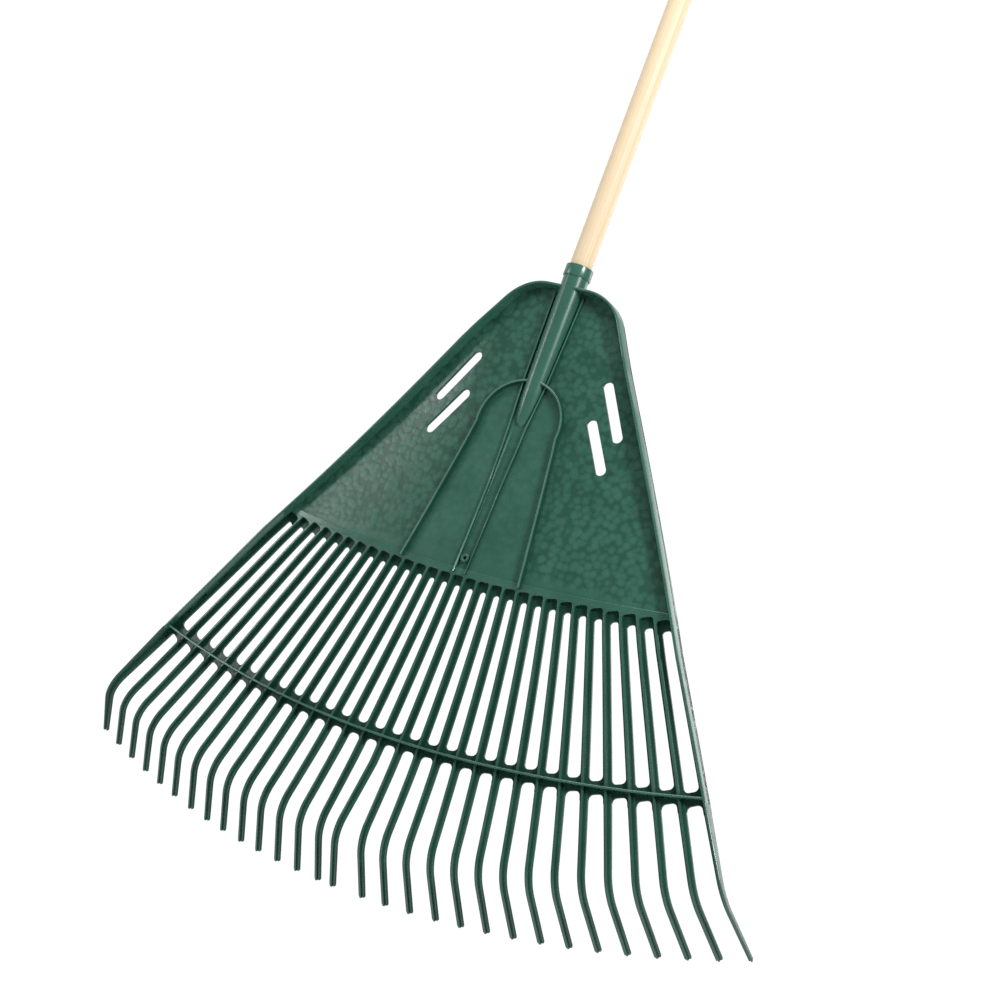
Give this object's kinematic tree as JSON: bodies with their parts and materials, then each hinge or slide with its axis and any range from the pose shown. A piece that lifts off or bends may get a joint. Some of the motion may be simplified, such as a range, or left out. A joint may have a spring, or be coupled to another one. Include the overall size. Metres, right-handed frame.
{
  "type": "leaf rake",
  "caption": "Leaf rake: a moulded fan head with sprung hooked tines, a ribbed panel and a socket on a long turned wooden pole.",
  "frame": {"origin": "middle of the pole's flat upper end", "axes": "+Z along the pole, away from the head; the ribbed face of the head looks along -Y; the tine tips are bent towards +Y; +X across the head"},
  "size_m": [0.7696, 0.0992, 1.7645],
  "materials": {
    "head_plastic": "dark green polypropylene, satin, finely textured",
    "pole_wood": "smooth turned pale softwood, clear",
    "screw_steel": "zinc plated"
  },
  "bodies": {
    "rake": {"head_panel": "head_plastic", "handle_socket": "head_plastic", "tine_grid": "head_plastic", "pole": "pole_wood", "socket_screw": "screw_steel"},
    "tine_01": {"tine_01": "head_plastic"},
    "tine_02": {"tine_02": "head_plastic"},
    "tine_03": {"tine_03": "head_plastic"},
    "tine_04": {"tine_04": "head_plastic"},
    "tine_05": {"tine_05": "head_plastic"},
    "tine_06": {"tine_06": "head_plastic"},
    "tine_07": {"tine_07": "head_plastic"},
    "tine_08": {"tine_08": "head_plastic"},
    "tine_09": {"tine_09": "head_plastic"},
    "tine_10": {"tine_10": "head_plastic"},
    "tine_11": {"tine_11": "head_plastic"},
    "tine_12": {"tine_12": "head_plastic"},
    "tine_13": {"tine_13": "head_plastic"},
    "tine_14": {"tine_14": "head_plastic"},
    "tine_15": {"tine_15": "head_plastic"},
    "tine_16": {"tine_16": "head_plastic"},
    "tine_17": {"tine_17": "head_plastic"},
    "tine_18": {"tine_18": "head_plastic"},
    "tine_19": {"tine_19": "head_plastic"},
    "tine_20": {"tine_20": "head_plastic"},
    "tine_21": {"tine_21": "head_plastic"},
    "tine_22": {"tine_22": "head_plastic"},
    "tine_23": {"tine_23": "head_plastic"},
    "tine_24": {"tine_24": "head_plastic"},
    "tine_25": {"tine_25": "head_plastic"},
    "tine_26": {"tine_26": "head_plastic"},
    "tine_27": {"tine_27": "head_plastic"},
    "tine_28": {"tine_28": "head_plastic"},
    "tine_29": {"tine_29": "head_plastic"},
    "tine_30": {"tine_30": "head_plastic"}
  },
  "joints": [
    {"name": "tine_01_flex", "type": "hinge", "parent": "rake", "child": "tine_01", "pos_m": [-0.32331, 0.00916, -1.59692], "axis": [0.8605, 0, -0.5094], "range_deg": [-12, 6], "stiffness_Nm_per_rad": 8.8},
    {"name": "tine_02_flex", "type": "hinge", "parent": "rake", "child": "tine_02", "pos_m": [-0.30002, 0.00484, -1.60303], "axis": [0.8787, 0, -0.4773], "range_deg": [-12, 6], "stiffness_Nm_per_rad": 8.8},
    {"name": "tine_03_flex", "type": "hinge", "parent": "rake", "child": "tine_03", "pos_m": [-0.27693, 0.00069, -1.60862], "axis": [0.8957, 0, -0.4446], "range_deg": [-12, 6], "stiffness_Nm_per_rad": 8.8},
    {"name": "tine_04_flex", "type": "hinge", "parent": "rake", "child": "tine_04", "pos_m": [-0.25404, -0.00342, -1.61369], "axis": [0.9115, 0, -0.4113], "range_deg": [-12, 6], "stiffness_Nm_per_rad": 8.8},
    {"name": "tine_05_flex", "type": "hinge", "parent": "rake", "child": "tine_05", "pos_m": [-0.23133, -0.00735, -1.61828], "axis": [0.926, 0, -0.3774], "range_deg": [-12, 6], "stiffness_Nm_per_rad": 8.8},
    {"name": "tine_06_flex", "type": "hinge", "parent": "rake", "child": "tine_06", "pos_m": [-0.20879, -0.01098, -1.6224], "axis": [0.9393, 0, -0.343], "range_deg": [-12, 6], "stiffness_Nm_per_rad": 8.8},
    {"name": "tine_07_flex", "type": "hinge", "parent": "rake", "child": "tine_07", "pos_m": [-0.1864, -0.01421, -1.62606], "axis": [0.9513, 0, -0.3082], "range_deg": [-12, 6], "stiffness_Nm_per_rad": 8.8},
    {"name": "tine_08_flex", "type": "hinge", "parent": "rake", "child": "tine_08", "pos_m": [-0.16415, -0.01692, -1.62928], "axis": [0.962, 0, -0.2729], "range_deg": [-12, 6], "stiffness_Nm_per_rad": 8.8},
    {"name": "tine_09_flex", "type": "hinge", "parent": "rake", "child": "tine_09", "pos_m": [-0.14201, -0.01902, -1.63207], "axis": [0.9714, 0, -0.2373], "range_deg": [-12, 6], "stiffness_Nm_per_rad": 8.8},
    {"name": "tine_10_flex", "type": "hinge", "parent": "rake", "child": "tine_10", "pos_m": [-0.11999, -0.02075, -1.63445], "axis": [0.9795, 0, -0.2013], "range_deg": [-12, 6], "stiffness_Nm_per_rad": 8.8},
    {"name": "tine_11_flex", "type": "hinge", "parent": "rake", "child": "tine_11", "pos_m": [-0.09805, -0.02219, -1.63641], "axis": [0.9863, 0, -0.1651], "range_deg": [-12, 6], "stiffness_Nm_per_rad": 8.8},
    {"name": "tine_12_flex", "type": "hinge", "parent": "rake", "child": "tine_12", "pos_m": [-0.07619, -0.02334, -1.63797], "axis": [0.9917, 0, -0.1286], "range_deg": [-12, 6], "stiffness_Nm_per_rad": 8.8},
    {"name": "tine_13_flex", "type": "hinge", "parent": "rake", "child": "tine_13", "pos_m": [-0.05438, -0.02419, -1.63914], "axis": [0.9958, 0, -0.092], "range_deg": [-12, 6], "stiffness_Nm_per_rad": 8.8},
    {"name": "tine_14_flex", "type": "hinge", "parent": "rake", "child": "tine_14", "pos_m": [-0.03261, -0.02476, -1.63992], "axis": [0.9985, 0, -0.0553], "range_deg": [-12, 6], "stiffness_Nm_per_rad": 8.8},
    {"name": "tine_15_flex", "type": "hinge", "parent": "rake", "child": "tine_15", "pos_m": [-0.01087, -0.02505, -1.6403], "axis": [0.9998, 0, -0.0184], "range_deg": [-12, 6], "stiffness_Nm_per_rad": 8.8},
    {"name": "tine_16_flex", "type": "hinge", "parent": "rake", "child": "tine_16", "pos_m": [0.01087, -0.02505, -1.6403], "axis": [0.9998, 0, 0.0184], "range_deg": [-12, 6], "stiffness_Nm_per_rad": 8.8},
    {"name": "tine_17_flex", "type": "hinge", "parent": "rake", "child": "tine_17", "pos_m": [0.03261, -0.02476, -1.63992], "axis": [0.9985, 0, 0.0553], "range_deg": [-12, 6], "stiffness_Nm_per_rad": 8.8},
    {"name": "tine_18_flex", "type": "hinge", "parent": "rake", "child": "tine_18", "pos_m": [0.05438, -0.02419, -1.63914], "axis": [0.9958, 0, 0.092], "range_deg": [-12, 6], "stiffness_Nm_per_rad": 8.8},
    {"name": "tine_19_flex", "type": "hinge", "parent": "rake", "child": "tine_19", "pos_m": [0.07619, -0.02334, -1.63797], "axis": [0.9917, 0, 0.1286], "range_deg": [-12, 6], "stiffness_Nm_per_rad": 8.8},
    {"name": "tine_20_flex", "type": "hinge", "parent": "rake", "child": "tine_20", "pos_m": [0.09805, -0.02219, -1.63641], "axis": [0.9863, 0, 0.1651], "range_deg": [-12, 6], "stiffness_Nm_per_rad": 8.8},
    {"name": "tine_21_flex", "type": "hinge", "parent": "rake", "child": "tine_21", "pos_m": [0.11999, -0.02075, -1.63445], "axis": [0.9795, 0, 0.2013], "range_deg": [-12, 6], "stiffness_Nm_per_rad": 8.8},
    {"name": "tine_22_flex", "type": "hinge", "parent": "rake", "child": "tine_22", "pos_m": [0.14201, -0.01902, -1.63207], "axis": [0.9714, 0, 0.2373], "range_deg": [-12, 6], "stiffness_Nm_per_rad": 8.8},
    {"name": "tine_23_flex", "type": "hinge", "parent": "rake", "child": "tine_23", "pos_m": [0.16415, -0.01692, -1.62928], "axis": [0.962, 0, 0.2729], "range_deg": [-12, 6], "stiffness_Nm_per_rad": 8.8},
    {"name": "tine_24_flex", "type": "hinge", "parent": "rake", "child": "tine_24", "pos_m": [0.1864, -0.01421, -1.62606], "axis": [0.9513, 0, 0.3082], "range_deg": [-12, 6], "stiffness_Nm_per_rad": 8.8},
    {"name": "tine_25_flex", "type": "hinge", "parent": "rake", "child": "tine_25", "pos_m": [0.20879, -0.01098, -1.6224], "axis": [0.9393, 0, 0.343], "range_deg": [-12, 6], "stiffness_Nm_per_rad": 8.8},
    {"name": "tine_26_flex", "type": "hinge", "parent": "rake", "child": "tine_26", "pos_m": [0.23133, -0.00735, -1.61828], "axis": [0.926, 0, 0.3774], "range_deg": [-12, 6], "stiffness_Nm_per_rad": 8.8},
    {"name": "tine_27_flex", "type": "hinge", "parent": "rake", "child": "tine_27", "pos_m": [0.25404, -0.00342, -1.61369], "axis": [0.9115, 0, 0.4113], "range_deg": [-12, 6], "stiffness_Nm_per_rad": 8.8},
    {"name": "tine_28_flex", "type": "hinge", "parent": "rake", "child": "tine_28", "pos_m": [0.27693, 0.00069, -1.60862], "axis": [0.8957, 0, 0.4446], "range_deg": [-12, 6], "stiffness_Nm_per_rad": 8.8},
    {"name": "tine_29_flex", "type": "hinge", "parent": "rake", "child": "tine_29", "pos_m": [0.30002, 0.00484, -1.60303], "axis": [0.8787, 0, 0.4773], "range_deg": [-12, 6], "stiffness_Nm_per_rad": 8.8},
    {"name": "tine_30_flex", "type": "hinge", "parent": "rake", "child": "tine_30", "pos_m": [0.32331, 0.00916, -1.59692], "axis": [0.8605, 0, 0.5094], "range_deg": [-12, 6], "stiffness_Nm_per_rad": 8.8}
  ]
}
